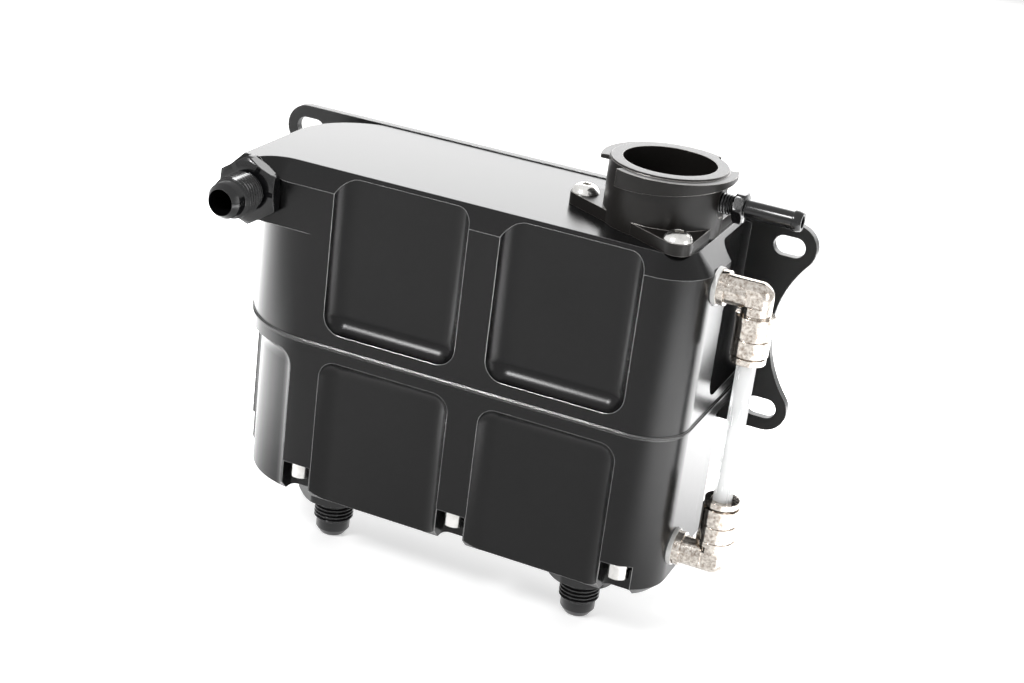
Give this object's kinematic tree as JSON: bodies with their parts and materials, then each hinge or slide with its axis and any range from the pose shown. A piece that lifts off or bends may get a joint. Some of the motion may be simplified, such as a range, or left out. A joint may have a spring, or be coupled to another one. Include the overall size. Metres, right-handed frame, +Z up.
{
  "type": "coolant expansion tank",
  "caption": "Black machined two-piece coolant tank with pocketed walls, a cammed filler neck, overflow barb, flare fittings, sight tube on push-in elbows and a slotted rear bracket.",
  "frame": {"origin": "on the bracket's back face, level with the seam between the halves and behind the middle rib", "axes": "+X to the right along the front, +Y out of the bracket's back, +Z up"},
  "size_m": [0.2018, 0.0881, 0.1634],
  "materials": {
    "black_anodise": "satin black anodised",
    "neck_black": "fine blasted black anodised",
    "fitting_black": "glossy black anodised",
    "bracket_black": "satin black coat",
    "nickel": "bright nickel plate",
    "bright_steel": "polished",
    "dark_steel": "black oxide",
    "white_washer": "smooth",
    "clear_tube": "milky translucent",
    "rubber": "matte"
  },
  "bodies": {
    "tank": {"upper_half": "black_anodise", "lower_half": "black_anodise", "body_seal": "rubber", "body_screws": "bright_steel", "filler_neck": "neck_black", "neck_seal": "rubber", "neck_screws": "bright_steel", "overflow_barb": "fitting_black", "side_fitting": "fitting_black", "side_fitting_seal": "rubber", "left_outlet": "fitting_black", "left_outlet_seal": "rubber", "right_outlet": "fitting_black", "right_outlet_seal": "rubber", "sight_tube": "clear_tube", "bracket": "bracket_black", "bracket_screws": "dark_steel", "upper_elbow": "nickel", "upper_elbow_washer": "white_washer", "upper_tube_seal": "rubber", "upper_grip_ring": "bright_steel", "lower_elbow": "nickel", "lower_elbow_washer": "white_washer", "lower_tube_seal": "rubber", "lower_grip_ring": "bright_steel"},
    "upper_release": {"upper_release_ring": "nickel"},
    "lower_release": {"lower_release_ring": "nickel"}
  },
  "joints": [
    {"name": "upper_release_push", "type": "slide", "parent": "tank", "child": "upper_release", "axis": [0, 0, 1], "range_m": [0, 0.0006], "stiffness_N_per_m": 2000},
    {"name": "lower_release_push", "type": "slide", "parent": "tank", "child": "lower_release", "axis": [0, 0, -1], "range_m": [0, 0.0006], "stiffness_N_per_m": 2000}
  ]
}
